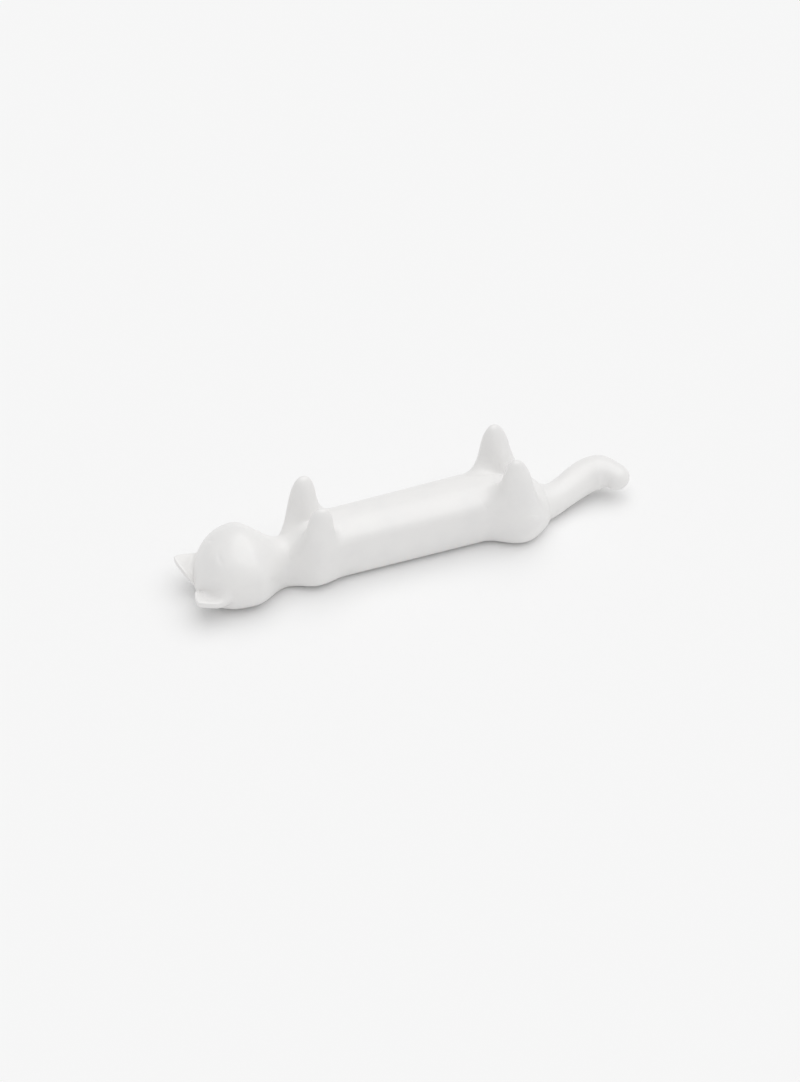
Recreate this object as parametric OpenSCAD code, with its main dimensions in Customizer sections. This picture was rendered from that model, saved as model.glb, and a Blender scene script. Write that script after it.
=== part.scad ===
// Chopstick rest in the shape of a cat that lies on its back, luted from nine pieces of porcelain.
// Lengths are in millimetres. The head points to -X, the tail to +X, the belly and paws to +Z.
// The origin is on the table, under the middle of the belly, halfway between the leg pairs.

/* [Torso] */
// Distance between the axes of the forelegs and the hind legs
leg_spacing = 47.8; // [40:0.2:56]
// Width of the chest behind the forelegs
chest_width = 12.4; // [10:0.1:15]
// Width of the loins before the hind legs
loin_width = 13.2; // [10:0.1:15]
// Height of the belly above the table
torso_height = 14.9; // [12:0.1:17]
// Squareness of the torso section above its widest line, where 2 is an ellipse
belly_squareness = 2.1; // [2:0.1:3]
// Squareness of the torso section below its widest line, where it turns under to the table
flank_squareness = 3.4; // [2.6:0.1:5]
// Length over which the shoulders narrow to the neck
shoulder_length = 6.3; // [4:0.1:7]
// Distance from the foreleg axis back to the widest place of the shoulders
shoulder_offset = 1.4; // [0.5:0.1:6]
// How far each shoulder stands out from the side of the torso
shoulder_bulge = 1; // [0.2:0.1:1.5]
// Half length of a shoulder along the body
shoulder_reach = 7; // [5:0.1:8]
// Distance from the foreleg axis to the neck joint
neck_offset = 5.1; // [4.9:0.1:8]
// Width of the neck at the joint
neck_width = 8.6; // [7:0.1:10]
// Height of the neck at the joint
neck_height = 12.3; // [10:0.1:13.5]

/* [Haunches] */
// Distance from the hind leg axis back to the widest place of the haunches
haunch_offset = 3.3; // [1:0.1:6]
// How far each haunch stands out from the side of the torso
haunch_bulge = 4.1; // [1:0.1:5]
// Half length of a haunch along the body
haunch_reach = 9.8; // [8:0.1:14]
// Length of the rounded rump, from full section to the seat of the tail
rump_length = 13.6; // [13:0.1:16]
// Distance from the start of the rump's rounding to the hind leg axis
rump_offset = 3.9; // [1:0.1:4.6]

/* [Head] */
// Greatest width of the head
head_width = 19.7; // [16:0.1:24]
// Height of the head above the table
head_height = 17.2; // [14:0.1:19]
// Distance from the neck joint to the widest place of the head
head_reach = 9.2; // [7:0.1:11]
// Distance from the widest place of the head to the crown
crown_reach = 11.4; // [9:0.1:14]
// Height of the middle of the crown above the table
crown_height = 3.7; // [2.5:0.1:5]
// Roundness of the crown, where 2 is an ellipse
crown_squareness = 2.1; // [2:0.1:3]
// Height of the muzzle above the curve of the face
muzzle_rise = 0.4; // [0:0.1:1.2]

/* [Ears] */
// Reach of an ear from the crown, along the head
ear_reach = 4.4; // [3:0.1:6]
// Reach of an ear to its side
ear_splay = 3.2; // [0.5:0.1:4]
// Rise of an ear's tip above its root
ear_rise = 0.4; // [0:0.1:2]
// Width of an ear above its flare
ear_width = 8.8; // [5:0.1:10]
// Thickness of an ear above its flare
ear_thickness = 4.2; // [2.8:0.1:4.8]
// Depth of the hollow on the upper face of an ear
ear_hollow = 1.9; // [0:0.1:2.2]

/* [Forelegs] */
// Height of the fore paws above the table
fore_paw_height = 23.7; // [21:0.1:28]
// Distance from the foreleg axis back to the middle of a foreleg's root
fore_root_offset = 1.4; // [1.2:0.1:2]
// Half length of a foreleg's root along the body
fore_root_reach = 6.2; // [4.6:0.1:6.4]
// Length of a foreleg's section above its flare, along the body
fore_length = 7.4; // [5:0.1:8.4]
// Width of a foreleg's section above its flare
fore_width = 4.8; // [3.6:0.1:6.4]
// Lean of the fore paws toward the tail
fore_lean = 2.1; // [0.5:0.1:3.5]
// Distance between the tips of the fore paws
fore_paw_spacing = 11.9; // [8:0.1:14]

/* [Hind legs] */
// Height of the hind paws above the table
hind_paw_height = 24.3; // [21:0.1:28]
// Distance from the hind leg axis back to the middle of a hind leg's root
hind_root_offset = 0.8; // [0:0.1:1.4]
// Half length of a hind leg's root along the body
hind_root_reach = 8.2; // [6:0.1:8.8]
// Length of a hind leg's section above its flare, along the body
hind_length = 8; // [6:0.1:9.5]
// Width of a hind leg's section above its flare
hind_width = 5.8; // [4:0.1:7]
// Lean of the hind paws toward the tail
hind_lean = 0.3; // [0.1:0.1:3]
// Distance between the tips of the hind paws
hind_paw_spacing = 13.5; // [9:0.1:15]

/* [Tail] */
// Radius of the tail at its seat on the rump
tail_root_radius = 4.6; // [3.8:0.1:4.9]
// Height of the tail's axis at its seat
tail_root_height = 3.8; // [3:0.1:4.2]
// Radius of the tail just past its seat
tail_radius = 3.4; // [2.8:0.1:4]
// Radius of the tail at its bend
tail_bend_radius = 4.1; // [3:0.1:4.5]
// Length of the tail's blunt tip past the end of its axis
tail_tip_radius = 2.9; // [2.4:0.1:4]
// Length of the tail's route along the body, to the end of its axis
tail_length = 18.7; // [14:0.1:22]
// Width of the tail's bend to the left
tail_bend = 6.6; // [3:0.1:9]
// Height of the tail's axis where it is lifted most
tail_lift = 6.9; // [5:0.1:9]

/* [Joints] */
// Thickness of the slip layer under each leg and ear
slip_gap = 0.1; // [0.08:0.01:0.2]

/* [Hidden] */
// Heights of the widest line of a section, as shares of the section's height
torso_waist_share = 0.765;
head_waist_share = 0.56;
// Half widths at the table, as shares of the greatest half width
torso_floor_share = 0.4;
head_floor_share = 0.46;
tail_floor_share = 0.4;
crown_floor_share = 0.1;
// Squareness of the head's section above and below its widest line, and of the tail's seat
face_squareness = 1.9;
nape_squareness = 2.5;
tail_squareness = 2;
// Squareness of the rump's rounding seen from the side and from above
rump_squareness = 1.3;
rump_fullness = 2.1;
// Lengths over which the torso's section turns into the head's and into that of the tail's seat
neck_blend_length = 8;
rear_blend_length = 8;
// How the crown lifts off the table: the share by which the underside reaches past flat
crown_lift_share = 1.06;
// Where a haunch reaches its full bulge, as a share of the way round the section
haunch_round_share = 0.62;
// How quickly a haunch fades where the rump rounds off
haunch_fade = 0.7;
// Share of the way round the section, up from the table, over which a shoulder fades
shoulder_fade_share = 0.2;

// Places of the roots, as shares of the way from the belly line to the table
fore_root_place_share = 0.37;
fore_root_width_share = 0.3;
hind_root_place_share = 0.37;
hind_root_width_share = 0.27;
ear_root_place_share = 0.64;
ear_root_width_share = 0.2;
// Place and half length of an ear's root, as shares of the way from the crown to the widest place
ear_root_along_share = 0.38;
ear_root_length_share = 0.31;
// Limb profiles: share of the root left above the flare, height share of the flare,
// fullness of the flank and bluntness of the tip
fore_profile = [0.85, 0.44, 1.7, 0.4];
hind_profile = [0.85, 0.44, 1.6, 0.46];
ear_profile = [0.8, 0.36, 1.15, 0.7];
// Height over which a leg's base turns from level to following the belly
seat_softness = 0.8;
// Thickness of a limb at its rim, and the share of the flare in which it is reached
rim_height = 0.3;
rim_share = 0.3;
// Share of a limb's rings that lie in its flare
flare_share = 0.5;

// Muzzle: place along the head and half sizes, as shares of the crown's reach and of the head's width
muzzle_along_share = 0.12;
muzzle_length_share = 0.42;
muzzle_width_share = 0.24;

// Tail: shares of its length, bend and lift at the five control places of its axis
tail_along_shares = [0, 0.3, 0.68, 0.84, 1];
tail_bend_shares = [0, -0.03, 0.85, 0.6, 0.03];
tail_lift_shares = [0, -0.02, 0.42, 1, 0.61];
// Tail: shares of its route where the root's swelling ends, where it is bent most,
// where its section has turned square to its axis, and that its cap takes
tail_root_share = 0.25;
tail_turn_share = 0.82;
tail_square_share = 0.12;
tail_cap_share = 0.18;

// Places along the body
fore_x = -leg_spacing / 2;
hind_x = leg_spacing / 2;
neck_x = fore_x - neck_offset;
head_x = neck_x - head_reach;
crown_x = head_x - crown_reach;
shoulder_x = fore_x + shoulder_offset;
haunch_x = hind_x + haunch_offset;
rump_x = hind_x - rump_offset;
tail_x = rump_x + rump_length;
tail_root_top = tail_root_height + tail_root_radius;

// Counts of rings and sides
torso_sides = 48;
head_sides = 56;
limb_sides = 24;
ear_sides = 20;
tail_sides = 24;
shoulder_rings = 6;
haunch_rings = 14;
rump_rings = 12;
neck_rings = 10;
crown_rings = 22;
limb_rings = 16;
ear_rings = 12;
seat_rings = 5;
tail_rings = 30;

// Clamp to the range from 0 to 1
function unit(t) = min(max(t, 0), 1);
// Smooth step from 0 to 1
function ease(t) = let (c = unit(t)) c * c * (3 - 2 * c);
// Smooth hump, 1 in the middle and 0 from -1 and 1 outward
function swell(t) = pow(max(1 - t * t, 0), 2);
// Quarter of a superellipse, 1 at the start and 0 at the end
function round_off(t, n) = pow(max(1 - pow(unit(t), n), 0), 1 / n);
function mix(a, b, t) = a + (b - a) * t;
// A height where it is positive, and nearly nothing below zero
function above(d) = (d + norm([d, seat_softness])) / 2;

// Half width, top and underside of the body's section at x
function torso_section(x) =
    let (
        e = round_off((x - rump_x) / rump_length, rump_squareness),
        n = ease((neck_x + shoulder_length - x) / shoulder_length),
        f = round_off((x - rump_x) / rump_length, rump_fullness),
        w = mix(tail_root_radius, mix(chest_width, loin_width, ease((x - fore_x) / leg_spacing)) / 2, f),
        t = mix(tail_root_top, torso_height, e)
    )
    [w + (neck_width - chest_width) / 2 * n, t + (neck_height - torso_height) * n, 0];

function head_section(x) =
    let (g = ease((neck_x - x) / head_reach))
    [mix(neck_width, head_width, g) / 2, mix(neck_height, head_height, g), 0];

function crown_section(x) =
    let (c = round_off((head_x - x) / crown_reach, crown_squareness))
    [head_width / 2 * c, mix(crown_height, head_height, c), max(crown_height * (1 - crown_lift_share * c), 0)];

function section(x) = x < head_x ? crown_section(x) : x < neck_x ? head_section(x) : torso_section(x);

// Extra half width of the haunches and the shoulders
function haunch(x) =
    haunch_bulge * swell((x - haunch_x) / haunch_reach)
        * pow(round_off((x - rump_x) / rump_length, rump_fullness), haunch_fade);
function shoulder(x, s) =
    shoulder_bulge * swell((x - shoulder_x) / shoulder_reach) * ease((1 - abs(s)) / shoulder_fade_share);
function bulge(x, s) = (haunch(x) + shoulder(x, s)) * ease(abs(s) / haunch_round_share);

// Low rise of the muzzle, on the face side of the head
function muzzle(x, angle) =
    muzzle_rise * swell((head_x - crown_reach * muzzle_along_share - x) / (crown_reach * muzzle_length_share))
        * swell(sin(angle) / (2 * muzzle_width_share)) * (cos(angle) > 0 ? 1 : 0);

// Point of the body's skin at x: s runs from -1 on the table at the left side, over the belly at 0,
// to 1 on the table at the right side; lift moves it straight outward
function skin_point(x, s, lift = 0) =
    let (
        q = section(x),
        w = q[0],
        h = q[1] - q[2],
        m = ease((neck_x + neck_blend_length / 2 - x) / neck_blend_length),
        k = ease((x - tail_x) / rear_blend_length + 1),
        low = h * mix(mix(torso_waist_share, head_waist_share, m), tail_root_height / tail_root_top, k),
        f = mix(mix(mix(torso_floor_share, head_floor_share, m), tail_floor_share, k), crown_floor_share,
            ease(q[2] / crown_height)),
        angle = abs(s) * (180 - atan2(f * w, low)),
        up = cos(angle) > 0,
        n = mix(mix(up ? belly_squareness : flank_squareness, up ? face_squareness : nape_squareness, m),
            tail_squareness, k),
        reach = up ? h - low : low / pow(1 - pow(f, n), 1 / n),
        r = pow(pow(sin(angle) / w, n) + pow(abs(cos(angle)) / reach, n), -1 / n) + muzzle(x, angle) + lift
    )
    [x, -sign(s) * (r * sin(angle) + bulge(x, s)), q[2] + low + r * cos(angle)];

function ring(x, sides) = [for (i = [0:sides]) skin_point(x, 1 - 2 * i / sides)];

// Middle of the end section at x, where the end face is fanned
function ring_middle(x) = let (q = section(x)) [x, 0, (q[2] + q[1]) / 2];

// Closed skin over rings of points, with one point before the first ring and one after the last
module close_skin(first, rings, last) {
    n = len(rings);
    m = len(rings[0]);
    points = concat([first], [for (r = rings) each r], [last]);
    faces = concat(
        [for (j = [0:m - 1]) [0, 1 + (j + 1) % m, 1 + j]],
        [for (i = [0:n - 2]) for (j = [0:m - 1]) let (a = 1 + i * m, k = (j + 1) % m)
            each [[a + j, a + k, a + m + k], [a + j, a + m + k, a + m + j]]],
        [for (j = [0:m - 1]) let (a = 1 + (n - 1) * m) [a + j, a + (j + 1) % m, n * m + 1]]
    );
    polyhedron(points = points, faces = faces);
}

// Limbs run from their rim at t = 0 to their tip at t = 1: first the flare, then the flank
function flare(t) = unit(t / flare_share);
function foot_radius(t, profile) = 1 - (1 - profile[0]) * sin(90 * flare(t));
function foot_lift(t) = slip_gap + rim_height * sin(90 * unit(flare(t) / rim_share));
function limb_height(t, profile) =
    t < flare_share
        ? profile[1] * pow(flare(t), 2)
        : mix(profile[1], 1, sin(90 * (t - flare_share) / (1 - flare_share)));
function flank_radius(h, profile) = pow(max(1 - pow(h, profile[2]), 0), profile[3]);

// Point on the seat of a leg: root is [x, s, half length, half width], r the share of the radius
function seat_point(root, r, angle, lift) =
    skin_point(root[0] + root[2] * r * cos(angle), root[1] + root[3] * r * sin(angle), lift);

// A leg's skin turns from its foot, which lies on the body, into an upright cone with a blunt tip;
// the cone's base is lifted where the body rises above the middle of the seat, on the belly side.
// size is [half length, half width], tip the point of the paw
function leg_point(root, profile, size, tip, t, angle) =
    let (
        h = limb_height(t, profile),
        c = flank_radius(h, profile),
        middle = seat_point(root, 0, 0, slip_gap),
        foot = seat_point(root, foot_radius(t, profile), angle, foot_lift(t)),
        cone = mix(middle, tip, h) + c * [size[0] * cos(angle), -size[1] * sin(angle), 0]
            + [0, 0, (1 - h) * above(foot[2] - middle[2])]
    )
    mix(foot, cone, ease(flare(t)));

// A limb is a closed skin: its seat from the middle to the rim, then its flank up to the tip
module leg(root, profile, size, tip) {
    seat = [for (i = [1:seat_rings - 1]) [for (j = [0:limb_sides - 1])
        seat_point(root, i / seat_rings, 360 * j / limb_sides, slip_gap)]];
    flank = [for (i = [0:limb_rings - 1]) [for (j = [0:limb_sides - 1])
        leg_point(root, profile, size, tip, i / limb_rings, 360 * j / limb_sides)]];
    close_skin(seat_point(root, 0, 0, slip_gap), concat(seat, flank), tip);
}

// An ear's root is placed by the angle round the crown, so that it stays clear of the crown's pole
function ear_x(a) = head_x - crown_reach * cos(90 * a);
function ear_seat_point(side, r, angle, lift) =
    skin_point(
        ear_x(ear_root_along_share + ear_root_length_share * r * cos(angle)),
        side * (ear_root_place_share + ear_root_width_share * r * sin(angle)),
        lift
    );
// The blade is wide across its own direction and thin from top to bottom, with a hollow on top
function ear_point(side, t, angle) =
    let (
        h = limb_height(t, ear_profile),
        c = flank_radius(h, ear_profile),
        wide = direction([ear_splay, -side * ear_reach, 0]),
        foot = ear_seat_point(side, foot_radius(t, ear_profile), angle, foot_lift(t)),
        blade = ear_seat_point(side, 0, 0, slip_gap) + h * [-ear_reach, -side * ear_splay, ear_rise]
            + c * (ear_width / 2 * cos(angle) * wide - [0, 0, ear_thickness / 2 * sin(angle)])
    )
    mix(foot, blade, ease(flare(t)))
        - [0, 0, ear_hollow * ease(flare(t)) * (1 - h) * pow(max(-sin(angle), 0), 2)];

module ear(side) {
    seat = [for (i = [1:seat_rings - 1]) [for (j = [0:ear_sides - 1])
        ear_seat_point(side, i / seat_rings, side * 360 * j / ear_sides, slip_gap)]];
    flank = [for (i = [0:ear_rings - 1]) [for (j = [0:ear_sides - 1])
        ear_point(side, i / ear_rings, side * 360 * j / ear_sides)]];
    color("white")
        close_skin(ear_seat_point(side, 0, 0, slip_gap), concat(seat, flank), ear_point(side, 1, 0));
}

module torso() {
    xs = concat(
        [for (i = [0:shoulder_rings]) neck_x + shoulder_length * i / shoulder_rings],
        [for (i = [1:shoulder_rings]) mix(neck_x + shoulder_length, shoulder_x + shoulder_reach,
            i / shoulder_rings)],
        [for (i = [0:haunch_rings - 1]) mix(haunch_x - haunch_reach, rump_x, i / haunch_rings)],
        [for (i = [0:rump_rings]) rump_x + rump_length * sin(90 * i / rump_rings)]
    );
    color("white") close_skin(ring_middle(neck_x), [for (x = xs) ring(x, torso_sides)], ring_middle(tail_x));
}

module head() {
    xs = concat(
        [for (i = [1:crown_rings]) head_x - crown_reach * cos(90 * i / crown_rings)],
        [for (i = [1:neck_rings]) head_x + head_reach * i / neck_rings]
    );
    color("white") close_skin([crown_x, 0, crown_height], [for (x = xs) ring(x, head_sides)], ring_middle(neck_x));
}

module foreleg(side) {
    root = [fore_x + fore_root_offset, side * fore_root_place_share, fore_root_reach, fore_root_width_share];
    tip = [fore_x + fore_lean, -side * fore_paw_spacing / 2, fore_paw_height];
    color("white") leg(root, fore_profile, [fore_length, fore_width] / 2, tip);
}

module hind_leg(side) {
    root = [hind_x + hind_root_offset, side * hind_root_place_share, hind_root_reach, hind_root_width_share];
    tip = [hind_x + hind_lean, -side * hind_paw_spacing / 2, hind_paw_height];
    color("white") leg(root, hind_profile, [hind_length, hind_width] / 2, tip);
}

// Tail: a Bezier axis, a tube round it that is cut flat on the table, and a round cap
function fourth(c, t) =
    c[0] * pow(1 - t, 4) + 4 * c[1] * pow(1 - t, 3) * t + 6 * c[2] * pow(1 - t, 2) * t * t
        + 4 * c[3] * (1 - t) * pow(t, 3) + c[4] * pow(t, 4);
function axis_point(t) = [
    tail_x + tail_length * fourth(tail_along_shares, t),
    tail_bend * fourth(tail_bend_shares, t),
    mix(tail_root_height, tail_lift, fourth(tail_lift_shares, t))
];
function direction(v) = v / norm(v);
function tail_point(t, angle) =
    let (
        u = unit(t / (1 - tail_cap_share)),
        step = 0.001,
        run = direction(axis_point(unit(u + step)) - axis_point(unit(u - step))),
        ahead = direction(mix(run, [1, 0, 0], 1 - ease(u / tail_square_share))),
        across = direction(cross([0, 0, 1], ahead)),
        up = cross(ahead, across),
        cap = 90 * unit((t - 1 + tail_cap_share) / tail_cap_share),
        r = mix(tail_radius, tail_bend_radius, ease(u / tail_turn_share))
            + (tail_tip_radius - tail_bend_radius) * ease((u - tail_turn_share) / (1 - tail_turn_share))
            + (tail_root_radius - tail_radius) * pow(1 - unit(u / tail_root_share), 2),
        p = axis_point(u) + ahead * tail_tip_radius * sin(cap)
            + r * cos(cap) * (cos(angle) * across + sin(angle) * up)
    )
    [p[0], p[1], max(p[2], 0)];

module tail() {
    rings = [for (i = [0:tail_rings - 1]) [for (j = [0:tail_sides - 1])
        tail_point(i / tail_rings, -360 * j / tail_sides)]];
    color("white") close_skin([tail_x, 0, tail_root_height], rings, tail_point(1, 0));
}

torso();
head();
ear(-1);  // left_ear
ear(1);  // right_ear
foreleg(-1);  // left_foreleg
foreleg(1);  // right_foreleg
hind_leg(-1);  // left_hind_leg
hind_leg(1);  // right_hind_leg
tail();
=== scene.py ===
# %% [markdown]
# Chopstick rest in the shape of a cat on its back
#
# The real thing is one small piece of white porcelain with a satin glaze, a little over ten centimetres
# long. It is put together from nine parts while the clay is soft: a torso, a head, two ears, four legs
# and a tail. Here each part is its own mesh, and each mesh is a surface worked out from a formula.

# %% Load the fixed frame
import math

import bpy
import numpy as np
from mathutils import Matrix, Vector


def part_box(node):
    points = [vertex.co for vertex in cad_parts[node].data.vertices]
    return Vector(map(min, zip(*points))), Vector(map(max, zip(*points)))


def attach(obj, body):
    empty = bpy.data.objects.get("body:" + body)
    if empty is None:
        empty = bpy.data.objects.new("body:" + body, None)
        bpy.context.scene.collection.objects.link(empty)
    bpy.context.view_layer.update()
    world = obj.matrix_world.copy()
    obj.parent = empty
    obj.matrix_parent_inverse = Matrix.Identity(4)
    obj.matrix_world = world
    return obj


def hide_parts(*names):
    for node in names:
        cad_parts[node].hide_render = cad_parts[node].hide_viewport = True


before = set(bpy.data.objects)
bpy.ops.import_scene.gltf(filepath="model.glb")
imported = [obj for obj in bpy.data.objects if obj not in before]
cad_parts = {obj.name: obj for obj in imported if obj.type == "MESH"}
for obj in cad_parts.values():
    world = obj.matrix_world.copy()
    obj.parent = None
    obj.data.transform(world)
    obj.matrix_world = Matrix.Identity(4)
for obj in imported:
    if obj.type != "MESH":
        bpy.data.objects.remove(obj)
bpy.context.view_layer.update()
mm = 0.001


def box_mm(node):
    """Lowest and highest corner of a node of the frame, in millimetres."""
    return np.array([tuple(corner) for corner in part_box(node)]) / mm


print("nodes", sorted(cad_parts))

# %% [markdown]
# Camera
#
# The photograph looks down on the rest at 41 degrees, a little from the head's side, through a long lens.
# A long lens far away keeps the paws and the table nearly without perspective, so the camera stands
# 900 mm off. A point just above the table's middle is known to show at the aim pixel, and the picture's
# centre is found from there by stepping sideways and upward in the picture's own directions.

# %% Camera from the photograph's angles
photo_size = (800, 1082)
view_azimuth = math.radians(-21.2)
view_elevation = math.radians(41)
view_distance = 900 * mm
focal_pixels = 3996
aim_height = 6 * mm
aim_pixel = (404.4, 530.4)
sensor_width = 36
clip_near, clip_far = 10 * mm, 10

right_way = np.array([math.cos(view_azimuth), math.sin(view_azimuth), 0])
level_way = np.array([-math.sin(view_azimuth), math.cos(view_azimuth), 0])
look_way = math.cos(view_elevation) * level_way - math.sin(view_elevation) * np.array([0, 0, 1])
up_way = np.cross(right_way, look_way)

pixels_right = photo_size[0] / 2 - aim_pixel[0]
pixels_up = aim_pixel[1] - photo_size[1] / 2
target = np.array([0, 0, aim_height])
target = target + (pixels_right * right_way + pixels_up * up_way) * view_distance / focal_pixels

camera_data = bpy.data.cameras.new("camera")
camera = bpy.data.objects.new("camera", camera_data)
bpy.context.collection.objects.link(camera)
camera_data.sensor_width = sensor_width
camera_data.lens = sensor_width * focal_pixels / photo_size[1]
camera_data.clip_start = clip_near
camera_data.clip_end = clip_far
turn = Matrix(np.array([right_way, up_way, -look_way]).T.tolist()).to_4x4()
camera.matrix_world = Matrix.Translation(target - look_way * view_distance) @ turn
bpy.context.scene.camera = camera
print("camera at", np.round(camera.matrix_world.translation, 3), "lens", round(camera_data.lens, 2))

# %% [markdown]
# Curves that shape clay
#
# Soft clay has no hard breaks: each swelling starts and ends level. A few small curves are enough to
# describe that. They all work on whole arrays, so one call shapes every point of a surface at once.

# %% Small curves on arrays


def unit(t):
    """Clamp to the range from 0 to 1."""
    return np.clip(t, 0, 1)


def ease(t):
    """Smooth step: 3 t squared minus 2 t cubed, level at 0 and at 1."""
    c = unit(t)
    return c * c * (3 - 2 * c)


def swell(t):
    """Smooth hump: (1 - t squared) squared, 1 in the middle and 0 from -1 and 1 outward."""
    return np.maximum(1 - t * t, 0) ** 2


def round_off(t, n):
    """Quarter of a superellipse: the n-th root of 1 - t to the n, 1 at the start and 0 at the end."""
    return np.maximum(1 - unit(t) ** n, 0) ** (1 / n)


def mix(a, b, t):
    """A straight blend from a to b."""
    return a + (b - a) * t


def points_of(x, y, z):
    """Put coordinates of any matching shapes together as points."""
    return np.stack(np.broadcast_arrays(x, y, z), axis=-1)


print("ease at a quarter", ease(np.array(0.25)))

# %% [markdown]
# The body's skin
#
# On the real rest the torso and the head are one long round loaf, cut flat where it stands on the table.
# It could be carved from a box with subdivision, but then each change of width would mean moving points
# by hand. Instead every cross section is a superellipse whose width and height follow the length, and
# one function gives the skin's point for a place x along the body and a place s round it.
# The lengths are in millimetres, and the neck, the rump's end and the crown come from the frame.

# %% Sizes of the torso
neck_x, tail_x = box_mm("torso")[:, 0]
neck_to_foreleg = 5.1
fore_x = neck_x + neck_to_foreleg
hind_x = -fore_x

torso_height = 14.9
chest_half, loin_half = 6.2, 6.6
neck_half, neck_height = 4.3, 12.3
shoulder_length, shoulder_shift = 6.3, 1.4
shoulder_x = fore_x + shoulder_shift
shoulder_bulge, shoulder_reach, shoulder_fade_share = 1.4, 7.0, 0.12
haunch_shift = 3.3
haunch_x = hind_x + haunch_shift
haunch_bulge, haunch_reach, haunch_fade = 4.1, 9.8, 0.7
bulge_round_share = 0.62
rump_start = 3.9
rump_x = hind_x - rump_start
rump_length = tail_x - rump_x
tail_root_radius, tail_root_height = 4.6, 3.8
print("neck", neck_x, "tail", tail_x, "rump from", round(rump_x, 2))

# %% Sizes of the head
crown_x = box_mm("head")[0, 0]
head_half, head_height = 9.85, 17.2
head_reach = 9.2
head_x = neck_x - head_reach
crown_reach = head_x - crown_x
crown_height, crown_lift_share = 4.0, 1.06
face_reach = 9.9
peak_x = neck_x - face_reach
print("crown", crown_x, "widest at", round(head_x, 2), "highest at", round(peak_x, 2))

# %% Squareness and flatness of the sections
belly_power, flank_power = 2.1, 3.4
face_power, nape_power = 1.9, 2.5
crown_power, brow_power = 2.1, 2.15
rump_top_power, rump_side_power = 1.45, 2.1
tail_power = 2.0
torso_waist_share, head_waist_share = 0.765, 0.58
tail_waist_share = tail_root_height / (tail_root_height + tail_root_radius)
torso_floor_share, head_floor_share, tail_floor_share, crown_floor_share = 0.4, 0.46, 0.4, 0.1
neck_blend_length, rear_blend_length = 8.0, 8.0
print("tail's waist share", round(tail_waist_share, 3))

# %% The section along the body


def section(x):
    """Half width, top and underside of the body's section at x.

    From above, the crown is a superellipse and the cheeks ease into the neck. From the side, the face is
    a superellipse from its peak to the crown's edge and eases down to the nape, and the crown's underside
    lifts off the table toward its edge. The shoulders ease out of the neck, and the rump rounds off by
    two superellipses to the seat of the tail.
    """
    along = (x - rump_x) / rump_length
    shoulder = ease((neck_x + shoulder_length - x) / shoulder_length)
    flank = mix(chest_half, loin_half, ease((x - fore_x) / (hind_x - fore_x)))
    torso_half = mix(tail_root_radius, flank, round_off(along, rump_side_power))
    torso_half = torso_half + (neck_half - chest_half) * shoulder
    torso_top = mix(tail_root_height + tail_root_radius, torso_height, round_off(along, rump_top_power))
    torso_top = torso_top + (neck_height - torso_height) * shoulder

    crown = round_off((head_x - x) / crown_reach, crown_power)
    cheek = 1 - ease((x - head_x) / head_reach)
    face_half = np.where(x < head_x, head_half * crown, mix(neck_half, head_half, cheek))
    brow = round_off((peak_x - x) / (peak_x - crown_x), brow_power)
    nape = 1 - ease((x - peak_x) / face_reach)
    face_top = np.where(x < peak_x, mix(crown_height, head_height, brow), mix(neck_height, head_height, nape))

    half = np.where(x < neck_x, face_half, torso_half)
    top = np.where(x < neck_x, face_top, torso_top)
    low = np.where(x < head_x, np.maximum(crown_height * (1 - crown_lift_share * crown), 0), 0)
    return half, top, low


def bulge(x, s):
    """Extra half width of the haunches and the shoulders.

    Both are humps along the body that grow by a smooth step from the belly line outward. The shoulders
    fade again toward the table, and the haunches where the rump narrows.
    """
    haunch = haunch_bulge * swell((x - haunch_x) / haunch_reach)
    haunch = haunch * round_off((x - rump_x) / rump_length, rump_side_power) ** haunch_fade
    shoulder = shoulder_bulge * swell((x - shoulder_x) / shoulder_reach)
    shoulder = shoulder * ease((1 - np.abs(s)) / shoulder_fade_share)
    return (haunch + shoulder) * ease(np.abs(s) / bulge_round_share)


for label, x in (("cheeks", head_x), ("neck", neck_x), ("belly", 0), ("rump's end", tail_x)):
    half, top, low = section(np.array(x))
    print(label, "half width", np.round(half, 2), "from", np.round(low, 2), "to", np.round(top, 2))

# %% [markdown]
# The face
#
# The head is nearly bare: a low muzzle, two closed eyes and a short mouth, pressed with a tool into
# the soft clay and half filled again by the glaze. A bump texture would be lost in the exported mesh,
# so these are real dents: each is a small depth that the skin function takes off the section's radius.

# %% Dents and rises of the face
muzzle_rise, muzzle_place_share = 0.4, 0.12
muzzle_x = head_x - muzzle_place_share * crown_reach
muzzle_length, muzzle_half_width = 4.9, 5.0
eye_x, eye_y, eye_half_length = -45.0, 3.4, 2.3
eye_depth, eye_half_width, eye_bend = 0.13, 0.45, 0.5
lid_rise, lid_offset, lid_half_width = 0.1, 0.9, 0.9
mouth_x, mouth_half_length = -38.0, 1.5
mouth_depth, mouth_half_width, mouth_bend = 0.14, 0.4, 0.5


def stroke(across, along, half_width, half_length):
    """A pressed line: a bell profile across it that fades smoothly toward both of its ends."""
    return np.exp(-((across / half_width) ** 2)) * swell(along / half_length)


def face(x, y, upper):
    """Rise of the face over the upper skin, in millimetres outward, with dents below zero.

    The muzzle is a hump along the head times a hump across it. The eyes and the mouth are pressed lines
    bent to parabolas, and a faint lid rises beside each eye.
    """
    rise = muzzle_rise * swell((x - muzzle_x) / muzzle_length) * swell(y / muzzle_half_width)
    side = np.abs(y) - eye_y
    eye_line = x - eye_x - eye_bend * (side / eye_half_length) ** 2
    rise = rise - eye_depth * stroke(eye_line, side, eye_half_width, eye_half_length)
    rise = rise + lid_rise * stroke(eye_line + lid_offset, side, lid_half_width, eye_half_length)
    mouth_line = x - mouth_x + mouth_bend * (y / mouth_half_length) ** 2
    rise = rise - mouth_depth * stroke(mouth_line, y, mouth_half_width, mouth_half_length)
    return np.where(upper, rise, 0)


print("eye depth", eye_depth, "mm, mouth depth", mouth_depth, "mm")

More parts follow.
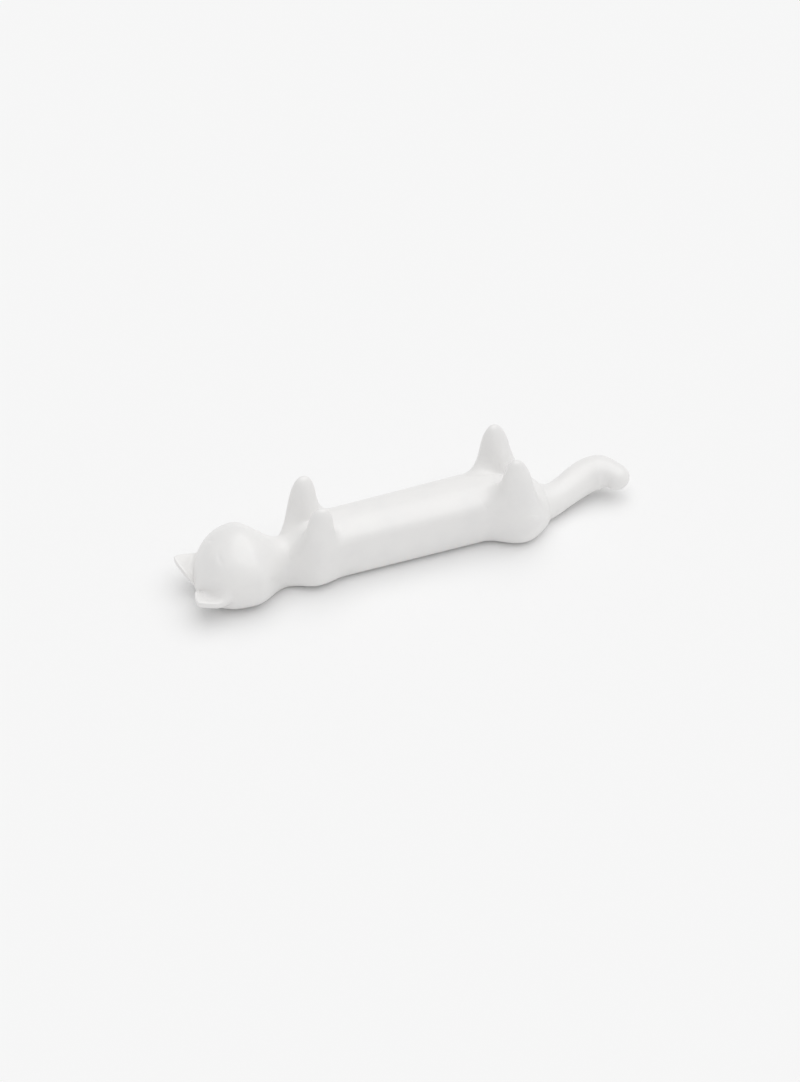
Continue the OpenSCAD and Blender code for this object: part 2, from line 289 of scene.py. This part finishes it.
# %% [markdown]
# One function for the whole skin
#
# The torso, the head, the seats of the limbs and the seat of the tail all have to lie on the same
# surface, or gaps and steps would show between the parts. So there is one function for a point of the
# skin, and every part asks it. It finds the section at x and then goes round it by an angle.

# %% The point of the skin
thinnest = 1e-6


def skin_point(x, s, lift=0.0):
    """Point of the body's skin at x and s, moved straight outward from the section's waist by lift.

    s is -1 at the table on the left side, 0 over the belly and 1 at the table on the right side. The
    section has its widest line at the waist. Its radius at an angle from the upward direction is that of
    a superellipse, with one power above the waist and another below it. The angle runs until the
    superellipse has come in to the floor share of its half width, and there the section is cut flat.
    The powers, the floor share and the waist turn from the torso's into the head's at the neck, and
    into those of the tail's circle at the rump.
    """
    x, s = np.broadcast_arrays(np.asarray(x, float), np.asarray(s, float))
    half, top, low = section(x)
    height = top - low
    toward_head = ease((neck_x + neck_blend_length / 2 - x) / neck_blend_length)
    toward_tail = ease((x - tail_x) / rear_blend_length + 1)
    raised = ease(low / crown_height)
    floor = mix(mix(torso_floor_share, head_floor_share, toward_head), tail_floor_share, toward_tail)
    floor = mix(floor, crown_floor_share, raised)
    waist_share = mix(mix(torso_waist_share, head_waist_share, toward_head), tail_waist_share, toward_tail)
    waist = height * waist_share
    angle = np.abs(s) * (math.pi - np.arctan2(floor * half, waist))
    upper = np.cos(angle) > 0
    body_power = np.where(upper, belly_power, flank_power)
    head_power = np.where(upper, face_power, nape_power)
    power = mix(mix(body_power, head_power, toward_head), tail_power, toward_tail)
    reach = np.where(upper, height - waist, waist / (1 - floor**power) ** (1 / power))
    across = np.sin(angle) / np.maximum(half, thinnest)
    upward = np.abs(np.cos(angle)) / np.maximum(reach, thinnest)
    radius = (across**power + upward**power) ** (-1 / power)
    radius = radius + face(x, radius * np.sin(angle) * -np.sign(s), upper) + lift
    side = radius * np.sin(angle) + bulge(x, s)
    return points_of(x, -np.sign(s) * side, low + waist + radius * np.cos(angle))


print("belly point", np.round(skin_point(0, 0), 2), "table edge", np.round(skin_point(0, 1), 2))

# %% [markdown]
# From a grid of points to a mesh
#
# Every part below is a closed skin: rings of points from one end to the other, and a fan of triangles at
# each end. One helper turns such a grid into a mesh, shades it smoothly and prints its number of faces
# and its volume. A positive volume means that the faces point outward, as the torso's and the head's do.
# The rings of the legs, the ears and the tail run the other way round, so their volumes come out
# negative and their faces point inward. The render shows them all the same, but a tool that draws only
# the front of a face needs those seven meshes turned round.

# %% Closed skins
pieces = []
sharp_angle = math.radians(50)


def triangle_volume(corners):
    """Volume between triangles and the origin: a sixth of one corner times the cross product of two."""
    return (corners[:, 0] * np.cross(corners[:, 1], corners[:, 2])).sum() / 6


def closed_skin(name, first, rings, last):
    """Mesh of a closed skin through rings, an array of rings by sides by 3, with a point at each end.

    Each quad joins neighbours along and round the grid, and the end points are joined to the end rings.
    """
    count, sides = rings.shape[:2]
    points = np.vstack([[first], rings.reshape(-1, 3), [last]]) * mm
    here = np.arange(sides)
    after = (here + 1) % sides
    start = 1 + sides * np.arange(count - 1)[:, None]
    quads = np.stack([start + here, start + after, start + sides + after, start + sides + here], axis=-1)
    quads = quads.reshape(-1, 4)
    end = 1 + sides * (count - 1)
    first_fan = np.stack([np.full(sides, 0), 1 + after, 1 + here], axis=-1)
    last_fan = np.stack([end + here, end + after, np.full(sides, end + sides)], axis=-1)
    mesh = bpy.data.meshes.new(name)
    mesh.from_pydata(points, [], quads.tolist() + first_fan.tolist() + last_fan.tolist())
    mesh.shade_smooth()
    mesh.set_sharp_from_angle(angle=sharp_angle)
    piece = bpy.data.objects.new(name + "_skin", mesh)
    bpy.context.collection.objects.link(piece)
    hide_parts(name)
    pieces.append(piece)
    triangles = np.concatenate([quads[:, [0, 1, 2]], quads[:, [0, 2, 3]], first_fan, last_fan])
    volume = triangle_volume(points[triangles]) / mm**3
    print(name, len(mesh.polygons), "faces,", round(volume), "cubic mm")


# %% [markdown]
# The torso
#
# The torso is a loaf of clay with round haunches, flat where it stands. The torso and the head take
# their rings from the same skin, so they meet at the neck without a step. The rings and the sides lie
# closer where the form turns fast: at the neck, round the rump, on the face and near the table.

# %% Rings of the body
floor_points = 15
table_crowding = 0.7


def body_rings(places, sides):
    """Rings of the skin at the places, each closed by a straight row of points under the body.

    The sides crowd toward the table, because s is a mix of v and (3 v - v cubed) / 2 for an even v.
    """
    v = np.linspace(-1, 1, sides)
    s = mix(v, (3 * v - v**3) / 2, table_crowding)
    skin = skin_point(places[:, None], s[None, :])
    t = np.linspace(0, 1, floor_points + 2)[1:-1, None]
    under = mix(skin[:, -1:, :], skin[:, :1, :], t[None])
    return np.concatenate([skin, under], axis=1)


def crowded(start, end, count):
    """Places from start to end that crowd toward both ends, by half a turn of a cosine."""
    return mix(start, end, (1 - np.cos(np.linspace(0, math.pi, count))) / 2)


def quarter_turn(count):
    """Angles of a quarter turn, for places that crowd toward one end by a sine or a cosine."""
    return np.linspace(0, math.pi / 2, count)


print("sides crowd by", table_crowding)

# %% The torso's rings
torso_sides = 201
neck_rings, belly_rings, rump_rings = 40, 120, 90
torso_places = np.concatenate([
    crowded(neck_x, neck_x + shoulder_length, neck_rings)[:-1],
    np.linspace(neck_x + shoulder_length, rump_x, belly_rings)[:-1],
    rump_x + rump_length * np.sin(quarter_turn(rump_rings)),
])
torso_grid = body_rings(torso_places, torso_sides)
closed_skin("torso", torso_grid[0].mean(axis=0), torso_grid, torso_grid[-1].mean(axis=0))

# %% [markdown]
# The head
#
# The head is a ball of clay that was pressed onto the neck and a little flat on the table, with the edge
# of the crown lifted clear. It could be a sphere pushed into shape, but the neck would then need fitting.
# Its rings crowd toward the crown's edge, where the skin turns down and under, and toward the neck.

# %% The head's rings
head_sides = 241
crown_rings, cheek_rings = 170, 60
head_places = np.concatenate([
    head_x - crown_reach * np.cos(quarter_turn(crown_rings)[1:]),
    crowded(head_x, neck_x, cheek_rings)[1:],
])
head_grid = body_rings(head_places, head_sides)
closed_skin("head", [crown_x, 0, crown_height], head_grid, head_grid[-1].mean(axis=0))

# %% [markdown]
# The legs
#
# Each leg is a small blunt cone whose foot spreads into the body like soft clay that was smoothed down
# with a thumb. A boolean union would leave a hard line there. Instead the leg's skin starts on the
# body's own skin, at a rim, and leaves it tangentially, so the join doesn't show. Inside the rim the leg
# is closed by a seat just under the body's skin.

# %% Curves of a limb
# A limb's profile holds the foot's inner radius share, the flare's height share and the flank's two powers.
fore_profile, hind_profile = (0.85, 0.44, 1.7, 0.4), (0.85, 0.44, 1.6, 0.46)
flare_share = 0.5
rim_lift, seat_sink = 0.012, 0.3
limb_sides, seat_rings = 128, 12
tip_crowding = 1.25


def limb_height(t, profile):
    """Share of a limb's height at t: a parabola through the flare, then a sine up to the tip."""
    rest = np.sin(math.pi / 2 * unit((t - flare_share) / (1 - flare_share)))
    return np.where(t < flare_share, profile[1] * (t / flare_share) ** 2, mix(profile[1], 1, rest))


def flank_radius(h, profile):
    """Radius share of a limb at the height share h: 1 - h to one power, to another power."""
    return np.maximum(1 - h ** profile[2], 0) ** profile[3]


def foot_radius(flare, profile):
    """Radius share of the foot on its seat: it runs inward from the rim by a quarter sine."""
    return 1 - (1 - profile[0]) * np.sin(math.pi / 2 * flare)


def limb_grid(rings, turn_way):
    """Radius shares of a limb's seat, steps of its flank from the rim to just below the tip, and angles."""
    r = np.linspace(0, 1, seat_rings + 1)[1:-1, None]
    t = 1 - (1 - np.linspace(0, 1, rings)[:-1, None]) ** tip_crowding
    angle = turn_way * np.linspace(0, 2 * math.pi, limb_sides, endpoint=False)[None, :]
    return r, t, angle


print("a foreleg's height share halfway through its flare", limb_height(flare_share / 2, fore_profile))

# %% The surface of a leg
leg_rings = 110
seat_softness = 0.8
inner_spread = 0.8


def seat_point(root, r, angle, lift):
    """Point of a leg's seat: an ellipse round the root on the body's skin, in x and s."""
    place, s, half_length, half_width = root
    return skin_point(place + half_length * r * np.cos(angle), s + half_width * r * np.sin(angle), lift)


def leg_point(root, profile, size, tip, t, angle):
    """Point of a leg: the foot on the body blends by a smooth step into an upright cone to the tip.

    The cone's rings are ellipses whose radius shrinks with the height. They are lifted where the body
    rises above the middle of the seat, by half the sum of that rise and its hypotenuse with the softness.
    Near its foot the cone spreads toward the other leg of the pair.
    """
    h = limb_height(t, profile)
    c = flank_radius(h, profile)
    flare = unit(t / flare_share)
    middle = seat_point(root, 0, 0, rim_lift)
    foot = seat_point(root, foot_radius(flare, profile), angle, rim_lift)
    rise = foot[..., 2] - middle[2]
    above = (rise + np.hypot(rise, seat_softness)) / 2
    cone = mix(middle, np.array(tip), h[..., None])
    inner = np.maximum(-np.sign(root[1]) * np.sin(angle), 0)
    across = c * size[1] / 2 * np.sin(angle) * (1 + inner_spread * (1 - h) * inner**2)
    cone = cone + points_of(c * size[0] / 2 * np.cos(angle), -across, (1 - h) * above)
    return mix(foot, cone, ease(flare)[..., None])


def leg(name, root, profile, size, tip):
    """A leg's closed skin: from the seat's middle to the rim, then over the flank to the tip."""
    r, t, angle = limb_grid(leg_rings, 1)
    seat = seat_point(root, r, angle, -seat_sink)
    flank = leg_point(root, profile, size, tip, t, angle)
    closed_skin(name, seat_point(root, 0, 0, -seat_sink), np.concatenate([seat, flank]), tip)


print("points of a leg", limb_sides * (leg_rings + seat_rings))

# %% [markdown]
# Four legs from one recipe
#
# The two legs of a pair are twins on the two sides of the belly. The hind legs are a little thicker, and
# all four paws point nearly straight up. A mirror modifier would give the second leg of a pair, but here
# a loop over the two sides does it, so that each leg is a mesh of its own. The heights of the paws come
# from the frame.

# %% The four legs
# A root holds its place along the body, its place round the skin, and its half length and half width.
leg_root_round = 0.37
fore_size, hind_size = (7.0, 4.8), (8.0, 5.8)
fore_root_length, fore_root_width = 6.4, 0.3
hind_root_length, hind_root_width = 8.2, 0.27
hind_root_shift = 0.8
fore_lean, fore_tip_y = 2.1, 5.95
hind_lean, hind_tip_y = 0.3, 6.75

for side_name, side in (("left", -1), ("right", 1)):
    fore_name, hind_name = side_name + "_foreleg", side_name + "_hind_leg"
    fore_root = (shoulder_x, side * leg_root_round, fore_root_length, fore_root_width)
    hind_root = (hind_x + hind_root_shift, side * leg_root_round, hind_root_length, hind_root_width)
    fore_tip = (fore_x + fore_lean, -side * fore_tip_y, box_mm(fore_name)[1, 2])
    hind_tip = (hind_x + hind_lean, -side * hind_tip_y, box_mm(hind_name)[1, 2])
    leg(fore_name, fore_root, fore_profile, fore_size, fore_tip)
    leg(hind_name, hind_root, hind_profile, hind_size, hind_tip)

# %% [markdown]
# The ears
#
# The ears lie low at the crown's edge, because the cat rests on the back of its head. Each is a thick
# leaf with a blunt tip, and its foot spreads over the crown the way a leg's does. A thumb pressed into
# its upper face left a scoop. The scoop could be cut with a boolean, but a depth taken off the upper
# side of the leaf keeps the mesh even and the edge soft.

# %% The surface of an ear
ear_rings = 90
ear_profile = (0.8, 0.36, 1.0, 0.69)
ear_reach, ear_splay, ear_rise = 4.1, 2.8, 1.75
ear_width, ear_thickness, ear_hollow = 8.9, 4.0, 2.2
ear_root_round, ear_root_width = 0.67, 0.22
ear_root_along, ear_root_length = 0.36, 0.33
ear_edge_power = 0.8


def ear_seat_point(side, r, angle, lift):
    """Point of an ear's seat: an ellipse in the angle round the crown and in s."""
    along = ear_root_along + ear_root_length * r * np.cos(angle)
    x = head_x - crown_reach * np.cos(math.pi / 2 * along)
    return skin_point(x, side * (ear_root_round + ear_root_width * r * np.sin(angle)), lift)


def ear_point(side, t, angle):
    """Point of an ear: the foot on the crown blends by a smooth step into a leaf to the tip.

    The leaf's half width shrinks with the height share and its half thickness with the root of that
    radius. A power of the sine makes its edge blunt. The scoop in its upper face is a squared sine round
    the leaf and gets shallower toward the tip.
    """
    h = limb_height(t, ear_profile)
    c = flank_radius(h, ear_profile)
    flare = unit(t / flare_share)
    wide = np.array([ear_splay, -side * ear_reach, 0]) / math.hypot(ear_splay, ear_reach)
    foot = ear_seat_point(side, foot_radius(flare, ear_profile), angle, rim_lift)
    middle = ear_seat_point(side, 0, 0, rim_lift)
    leaf = middle + h[..., None] * np.array([-ear_reach, -side * ear_splay, ear_rise])
    leaf = leaf + (c * ear_width / 2 * np.cos(angle))[..., None] * wide
    edge = np.sqrt(c) * np.sign(np.sin(angle)) * np.abs(np.sin(angle)) ** ear_edge_power
    leaf = leaf - points_of(0, 0, ear_thickness / 2 * edge)
    hollow = ear_hollow * ease(flare) * (1 - h) * np.maximum(-np.sin(angle), 0) ** 2
    return mix(foot, leaf, ease(flare)[..., None]) - points_of(0, 0, hollow)


def ear(name, side):
    """An ear's closed skin: from the seat's middle to the rim, then over the leaf to the tip."""
    r, t, angle = limb_grid(ear_rings, side)
    seat = ear_seat_point(side, r, angle, -seat_sink)
    flank = ear_point(side, t, angle)
    tip = ear_point(side, np.ones((1, 1)), np.zeros((1, 1)))[0, 0]
    closed_skin(name, ear_seat_point(side, 0, 0, -seat_sink), np.concatenate([seat, flank]), tip)


ear("left_ear", -1)
ear("right_ear", 1)

# %% [markdown]
# The tail
#
# The tail was rolled as a round coil, laid in a bend to the cat's left and lifted off the table toward
# its blunt tip. It could be a curve object with a bevel, but the flat underside at the root needs its
# own points. So the axis is a Bezier curve of the fourth degree, and circles stand square to it.

# %% Sizes and route of the tail
tail_length, tail_bend, tail_lift = 18.55, 6.6, 6.9
tail_start_radius, tail_bend_radius, tail_tip_radius = 3.4, 4.05, 3.0
tail_route_shares = np.array([
    [0, 0, 0], [0.33, -0.03, -0.02], [0.64, 0.86, 0.43], [0.85, 0.59, 0.98], [1, 0.03, 0.62],
])
tail_root_share, tail_turn_share, tail_square_share, tail_cap_share = 0.25, 0.72, 0.12, 0.18
tail_coil_share = 1 - tail_cap_share
tail_tuck = 1.2
foot_round = 0.4


def axis_point(u):
    """Point of the tail's axis: the five control points weighted by the Bernstein terms of degree 4."""
    weights = [math.comb(4, k) * (1 - u) ** (4 - k) * u**k for k in range(5)]
    share = sum(w[..., None] * p for w, p in zip(weights, tail_route_shares))
    start = np.array([tail_x, 0, tail_root_height])
    return start + share * np.array([tail_length, tail_bend, tail_lift - tail_root_height])


print("tail's axis ends at", np.round(axis_point(np.array(1.0)), 2))

# %% The tail's skin
tail_sides = 160
coil_rings, cap_rings = 150, 51
tangent_step = 0.001


def lengths(v):
    """Scale vectors to the length 1."""
    return v / np.linalg.norm(v, axis=-1, keepdims=True)


def tail_point(t, angle):
    """Point of the tail: a circle square to the axis, and a quarter round cap past the axis's end.

    The radius swells at the root and at the bend. The height is then half the sum of itself and its
    hypotenuse with the foot's roundness, so that what would lie under the table is pressed flat.
    """
    u = unit(t / tail_coil_share)
    run = lengths(axis_point(unit(u + tangent_step)) - axis_point(unit(u - tangent_step)))
    square = ease(u / tail_square_share)[..., None]
    ahead = lengths(mix(np.array([1.0, 0, 0]), run, square))
    across = lengths(np.cross([0, 0, 1], ahead))
    up = np.cross(ahead, across)
    cap = math.pi / 2 * unit((t - tail_coil_share) / tail_cap_share)
    r = mix(tail_start_radius, tail_bend_radius, ease(u / tail_turn_share))
    r = r + (tail_tip_radius - tail_bend_radius) * ease((u - tail_turn_share) / (1 - tail_turn_share))
    r = r + (tail_root_radius - tail_start_radius) * (1 - unit(u / tail_root_share)) ** 2
    spoke = np.cos(angle)[..., None] * across + np.sin(angle)[..., None] * up
    tuck = tail_tuck * unit(-t / tail_tuck)
    centre = axis_point(u) + ahead * (tail_tip_radius * np.sin(cap) - tuck)[..., None]
    p = centre + (r * np.cos(cap))[..., None] * spoke
    p[..., 2] = (p[..., 2] + np.hypot(p[..., 2], foot_round)) / 2
    return p


tail_t = np.concatenate([
    [-tail_tuck],
    np.linspace(0, tail_coil_share, coil_rings),
    tail_coil_share + tail_cap_share * np.linspace(0, 1, cap_rings)[1:-1],
])
tail_angle = -np.linspace(0, 2 * math.pi, tail_sides, endpoint=False)
tail_grid = tail_point(*np.meshgrid(tail_t, tail_angle, indexing="ij"))
tail_tip = tail_point(np.array([[1.0]]), np.array([[0.0]]))[0, 0]
closed_skin("tail", tail_grid[0].mean(axis=0), tail_grid, tail_tip)

# %% [markdown]
# Shader maths as Python
#
# A material is a tree of nodes. Written out node by node, even a simple sum takes several lines, so a
# small class wraps a socket, and the operators of Python add the Math nodes.

# %% A socket that can be reckoned with


class Wire:
    """One socket of a material's tree. Sums, differences and products of wires add Math nodes."""

    def __init__(self, tree, socket=None):
        self.tree = tree
        self.socket = socket

    def node(self, kind, settings, inputs, output=0):
        """Add a node, apply its settings, fill its inputs with values or wires, and return one output."""
        made = self.tree.nodes.new(kind)
        for name, value in settings.items():
            setattr(made, name, value)
        for name, value in inputs.items():
            if isinstance(value, Wire):
                self.tree.links.new(value.socket, made.inputs[name])
            else:
                made.inputs[name].default_value = value
        return Wire(self.tree, made.outputs[output])

    def feed(self, shader, name):
        """Lead this wire into a socket of the shader."""
        self.tree.links.new(self.socket, shader.inputs[name])

    def math(self, operation, one, two):
        """A Math node on two wires or values."""
        return self.node("ShaderNodeMath", {"operation": operation}, {0: one, 1: two})

    def __add__(self, other):
        return self.math("ADD", self, other)

    __radd__ = __add__

    def __sub__(self, other):
        return self.math("SUBTRACT", self, other)

    def __rsub__(self, other):
        return self.math("SUBTRACT", other, self)

    def __mul__(self, other):
        return self.math("MULTIPLY", self, other)

    __rmul__ = __mul__

    def between(self, low, high):
        """0 at and below low, 1 at and above high, with a smooth step between them."""
        settings = {"interpolation_type": "SMOOTHSTEP"}
        return self.node("ShaderNodeMapRange", settings, {"Value": self, "From Min": low, "From Max": high})


def new_material(name):
    """An empty material with a Principled shader, and the wire that its nodes are added through."""
    material = bpy.data.materials.new(name)
    material.use_nodes = True
    tree = material.node_tree
    return material, tree.nodes["Principled BSDF"], Wire(tree)


print("shader class ready")

# %% [markdown]
# Satin glaze on porcelain
#
# The glaze is white with a silky gloss. Seen close it is not even: the body shows faintly through in
# soft clouds, the surface has the fine ripple of fired glaze, its gloss changes a little from place to
# place, and a few pinholes are left. Under the rest the glaze is wiped off, so that it doesn't stick to
# the kiln shelf, and the bare porcelain there is dull and a little warmer. A picture of glaze could be
# wrapped round the pieces, but it would stretch on the paws, so the pattern is worked out in space.

# %% Patterns of the glaze
# The scales are cells per metre, and the heights are metres above the table.
cloud_scale, gloss_scale, ripple_scale, grain_scale, pinhole_scale = 130, 420, 900, 6500, 260
pinhole_size = (0.02, 0.045)
pinhole_choice = (0.93, 0.94)
bare_height, bare_waver = (0.18 * mm, 0.3 * mm), 0.2 * mm

glaze, glaze_shader, g = new_material("satin_porcelain_glaze")
place = g.node("ShaderNodeTexCoord", {}, {}, "Object")


def noise(scale, detail, roughness=0.5):
    """Soft noise on the object's own coordinates."""
    inputs = {"Vector": place, "Scale": scale, "Detail": detail, "Roughness": roughness}
    return g.node("ShaderNodeTexNoise", {}, inputs, "Fac")


clouds = noise(cloud_scale, 3, 0.55)
gloss_clouds = noise(gloss_scale, 4)
ripple = noise(ripple_scale, 2)
grain = noise(grain_scale, 2)
cells = g.node("ShaderNodeTexVoronoi", {}, {"Vector": place, "Scale": pinhole_scale}, "Distance")
cell_kind = g.node("ShaderNodeTexVoronoi", {}, {"Vector": place, "Scale": pinhole_scale}, "Color")
chosen = g.node("ShaderNodeSeparateColor", {}, {"Color": cell_kind}, "Red").between(*pinhole_choice)
pinholes = (1 - cells.between(*pinhole_size)) * chosen
height = g.node("ShaderNodeSeparateXYZ", {}, {"Vector": place}, "Z")
bare = 1 - (height + bare_waver * gloss_clouds).between(*bare_height)
print("nodes for the patterns", len(glaze.node_tree.nodes))

# %% Colour, gloss and relief of the glaze
glaze_white = (0.86, 0.852, 0.842, 1)
cloud_white = (0.835, 0.828, 0.822, 1)
bare_white = (0.8, 0.775, 0.735, 1)
pinhole_white = (0.7, 0.685, 0.665, 1)
cloud_range = (0.35, 0.7)
satin_roughness, cloud_roughness, grain_roughness, bare_roughness = 0.3, 0.1, 0.06, 0.4
ripple_relief, grain_relief = 0.7, 0.12
relief_strength, relief_depth = 0.3, 0.02 * mm
coat_weight, coat_roughness, glaze_ior = 0.3, 0.25, 1.5


def blend_colour(factor, one, two):
    """Mix two colours or wires of colours by a factor."""
    settings = {"data_type": "RGBA"}
    return g.node("ShaderNodeMix", settings, {"Factor": factor, 6: one, 7: two}, 2)


colour = blend_colour(clouds.between(*cloud_range), glaze_white, cloud_white)
colour = blend_colour(pinholes, colour, pinhole_white)
colour = blend_colour(bare, colour, bare_white)
roughness = satin_roughness + cloud_roughness * gloss_clouds + grain_roughness * grain + bare_roughness * bare
relief = ripple_relief * ripple + grain_relief * grain + bare * grain - pinholes
relief_inputs = {"Height": relief, "Strength": relief_strength, "Distance": relief_depth}
normal = g.node("ShaderNodeBump", {}, relief_inputs, "Normal")

colour.feed(glaze_shader, "Base Color")
roughness.feed(glaze_shader, "Roughness")
normal.feed(glaze_shader, "Normal")
(coat_weight * (1 - bare)).feed(glaze_shader, "Coat Weight")
glaze_shader.inputs["Coat Roughness"].default_value = coat_roughness
glaze_shader.inputs["IOR"].default_value = glaze_ior
for piece in pieces:
    piece.data.materials.append(glaze)
print("glaze nodes", len(glaze.node_tree.nodes))

# %% [markdown]
# Paper floor
#
# The ground in the photograph is white and has no edge, like a paper sweep. It could be a sheet with a
# bend at the back, but the camera looks down and sees no horizon, so one wide dull square is enough. It
# shows no hard shadow, only a darker line where the rest meets the paper.

# %% Floor
floor_half = 3.0
paper_white = (0.92, 0.92, 0.92, 1)

floor_mesh = bpy.data.meshes.new("paper_floor")
floor_corners = [(-floor_half, -floor_half, 0), (floor_half, -floor_half, 0),
                 (floor_half, floor_half, 0), (-floor_half, floor_half, 0)]
floor_mesh.from_pydata(floor_corners, [], [(0, 1, 2, 3)])
floor = bpy.data.objects.new("paper_floor", floor_mesh)
bpy.context.collection.objects.link(floor)
paper, paper_shader, _ = new_material("white_paper")
paper_shader.inputs["Base Color"].default_value = paper_white
paper_shader.inputs["Roughness"].default_value = 1
paper_shader.inputs["Specular IOR Level"].default_value = 0
floor_mesh.materials.append(paper)
print("floor", 2 * floor_half, "m wide")

# %% [markdown]
# Soft light
#
# The shading in the photograph is pale and has no edge, so the light comes from nearly everywhere. An
# even white world gives more than half of it. A very wide sun, tipped twelve degrees, gives the rest and
# makes the top of the body a little brighter than its sides. A softbox could be an area lamp, but then
# its distance would change the level of the paper from one side of the picture to the other.

# %% Light
world_level = 0.62
lamp_strength = 1.24
lamp_width = math.radians(75)
lamp_tilt = (math.radians(2), math.radians(12), 0)

world = bpy.data.worlds.new("studio")
world.use_nodes = True
world.node_tree.nodes["Background"].inputs["Color"].default_value = (1, 1, 1, 1)
world.node_tree.nodes["Background"].inputs["Strength"].default_value = world_level
bpy.context.scene.world = world

lamp_data = bpy.data.lights.new("overhead", "SUN")
lamp_data.energy = lamp_strength
lamp_data.angle = lamp_width
lamp = bpy.data.objects.new("overhead", lamp_data)
lamp.rotation_euler = lamp_tilt
bpy.context.collection.objects.link(lamp)
bpy.context.scene.view_settings.view_transform = "Standard"
print("light", world_level, lamp_strength)

# %% [markdown]
# Riding on the body
#
# Every piece rides on the one body.

# %% Ride
for piece in pieces:
    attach(piece, "root")
